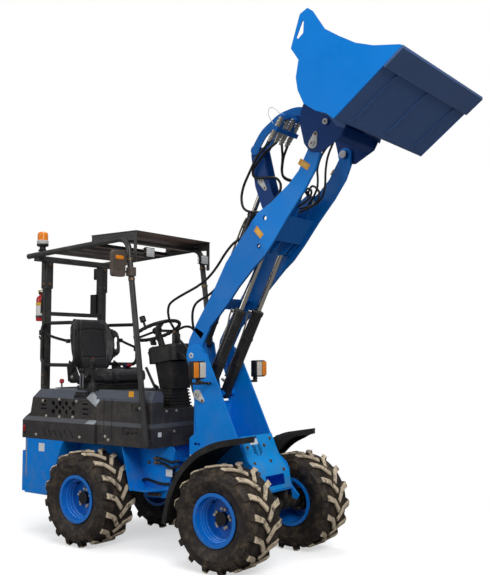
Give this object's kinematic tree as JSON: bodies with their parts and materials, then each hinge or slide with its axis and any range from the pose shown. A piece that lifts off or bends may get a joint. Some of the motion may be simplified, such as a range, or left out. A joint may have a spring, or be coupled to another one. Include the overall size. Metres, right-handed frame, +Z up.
{
  "type": "compact articulated wheel loader",
  "caption": "Compact articulated wheel loader with a canopy, twin loader arms raised high, a linked quick hitch and a bucket rolled back.",
  "frame": {"origin": "on the ground under the middle of the machine's bounding box", "axes": "+X forward towards the bucket, +Y to the machine's left, +Z up; the tow pin leaves its bore along -Z"},
  "size_m": [3.3608, 1.15, 3.3592],
  "materials": {
    "blue_paint": "satin, worn",
    "dark_paint": "satin, worn",
    "black_paint": "satin",
    "rim_paint": "dusty satin",
    "tyre_rubber": "matt, dusty tread",
    "cast_block": "matt",
    "chrome_rod": "polished",
    "black_plastic": "matt",
    "seat_cover": "matt",
    "lamp_lens": "clear",
    "amber_lens": "glossy",
    "red_paint": "gloss",
    "worn_steel": "worn",
    "keeper_paint": "satin"
  },
  "bodies": {
    "rear": {"rear_chassis": "blue_paint", "rear_axle": "black_paint", "counterweight": "blue_paint", "engine_block": "cast_block", "engine_hood": "dark_paint", "floor_deck": "dark_paint", "steering_console": "black_plastic", "steering_wheel": "black_plastic", "joystick": "black_plastic", "seat_base": "black_plastic", "seat_cushion": "seat_cover", "seat_back": "seat_cover", "canopy_frame": "black_paint", "roof_panel": "dark_paint", "beacon": "amber_lens", "side_mirror": "black_plastic", "guard_rails": "black_paint", "fire_extinguisher": "red_paint", "work_lamps": "lamp_lens", "air_intake": "black_plastic"},
    "front": {"front_frame": "blue_paint", "front_axle": "black_paint", "nose_panel": "blue_paint", "front_fenders": "black_plastic", "headlamps": "black_plastic"},
    "rear_door": {"rear_door": "dark_paint"},
    "steer_barrel": {"steer_barrel": "black_paint"},
    "steer_rod": {"steer_rod": "chrome_rod"},
    "arms": {"lift_arms": "blue_paint"},
    "lift_barrels": {"lift_barrels": "black_paint"},
    "lift_rods": {"lift_rods": "chrome_rod"},
    "rocker": {"rocker": "blue_paint"},
    "tilt_link": {"tilt_link": "blue_paint", "coupler_block": "black_plastic"},
    "tilt_barrel": {"tilt_barrel": "black_paint"},
    "tilt_rod": {"tilt_rod": "chrome_rod"},
    "tool": {"quick_hitch": "blue_paint", "bucket": "blue_paint", "cutting_edge": "worn_steel"},
    "front_right_wheel": {"front_right_tyre": "tyre_rubber", "front_right_rim": "rim_paint"},
    "front_left_wheel": {"front_left_tyre": "tyre_rubber", "front_left_rim": "rim_paint"},
    "rear_right_wheel": {"rear_right_tyre": "tyre_rubber", "rear_right_rim": "rim_paint"},
    "rear_left_wheel": {"rear_left_tyre": "tyre_rubber", "rear_left_rim": "rim_paint"}
  },
  "joints": [
    {"name": "steer", "type": "hinge", "parent": "rear", "child": "front", "pos_m": [-0.28, 0, 0.4925], "axis": [0, 0, 1], "range_deg": [-35, 35]},
    {"name": "lift", "type": "hinge", "parent": "front", "child": "arms", "pos_m": [-0.11, 0, 1.335], "axis": [0, 1, 0], "range_deg": [0, 90]},
    {"name": "tilt", "type": "hinge", "parent": "arms", "child": "tool", "pos_m": [0.86, 0, 2.66], "axis": [0, -1, 0], "range_deg": [-75, 45]},
    {"name": "front_right_spin", "type": "hinge", "parent": "front", "child": "front_right_wheel", "pos_m": [0.34, -0.413, 0.33], "axis": [0, 1, 0], "continuous": true},
    {"name": "front_left_spin", "type": "hinge", "parent": "front", "child": "front_left_wheel", "pos_m": [0.34, 0.413, 0.33], "axis": [0, 1, 0], "continuous": true},
    {"name": "rear_right_spin", "type": "hinge", "parent": "rear", "child": "rear_right_wheel", "pos_m": [-0.9, -0.413, 0.33], "axis": [0, 1, 0], "continuous": true},
    {"name": "rear_left_spin", "type": "hinge", "parent": "rear", "child": "rear_left_wheel", "pos_m": [-0.9, 0.413, 0.33], "axis": [0, 1, 0], "continuous": true},
    {"name": "rear_door_swing", "type": "hinge", "parent": "rear", "child": "rear_door", "pos_m": [-1.69, 0.371, 0.785], "axis": [0, 0, -1], "range_deg": [0, 100]},
    {"name": "rocker_turn", "type": "hinge", "parent": "arms", "child": "rocker", "pos_m": [0.472, 0, 2.228], "axis": [0, -1, 0], "range_deg": [-29.1, 17.6]},
    {"name": "link_turn", "type": "hinge", "parent": "rocker", "child": "tilt_link", "pos_m": [0.301, 0, 2.727], "axis": [0, -1, 0], "range_deg": [-13.8, 22.7]},
    {"name": "lift_barrels_turn", "type": "hinge", "parent": "front", "child": "lift_barrels", "pos_m": [-0.075, 0, 1.068], "axis": [0, 1, 0], "range_deg": [0, 82.5]},
    {"name": "lift_rods_slide", "type": "slide", "parent": "lift_barrels", "child": "lift_rods", "axis": [0.4498, 0, 0.8931], "range_m": [-0.3334, 0.002]},
    {"name": "tilt_barrel_turn", "type": "hinge", "parent": "front", "child": "tilt_barrel", "pos_m": [-0.175, 0, 1.42], "axis": [0, 1, 0], "range_deg": [0, 89.2]},
    {"name": "tilt_rod_slide", "type": "slide", "parent": "tilt_barrel", "child": "tilt_rod", "axis": [0.427, 0, 0.9042], "range_m": [-0.002, 0.1638]},
    {"name": "steer_barrel_turn", "type": "hinge", "parent": "rear", "child": "steer_barrel", "pos_m": [-0.52, -0.122, 0.492], "axis": [0, 0, 1], "range_deg": [-10, 10]},
    {"name": "steer_rod_slide", "type": "slide", "parent": "steer_barrel", "child": "steer_rod", "axis": [1, 0, 0], "range_m": [-0.0753, 0.0753]}
  ],
  "couplings": [
    {"joint": "rocker_turn", "follows": "tilt", "ratio": 0.381},
    {"joint": "link_turn", "follows": "tilt", "ratio": -0.296},
    {"joint": "lift_barrels_turn", "follows": "lift", "ratio": 0.911},
    {"joint": "lift_rods_slide", "follows": "lift", "m_per_rad": -0.211},
    {"joint": "tilt_barrel_turn", "follows": "lift", "ratio": 0.985},
    {"joint": "tilt_rod_slide", "follows": "lift", "m_per_rad": 0.103},
    {"joint": "steer_barrel_turn", "follows": "steer", "ratio": 0.272},
    {"joint": "steer_rod_slide", "follows": "steer", "m_per_rad": 0.12}
  ]
}
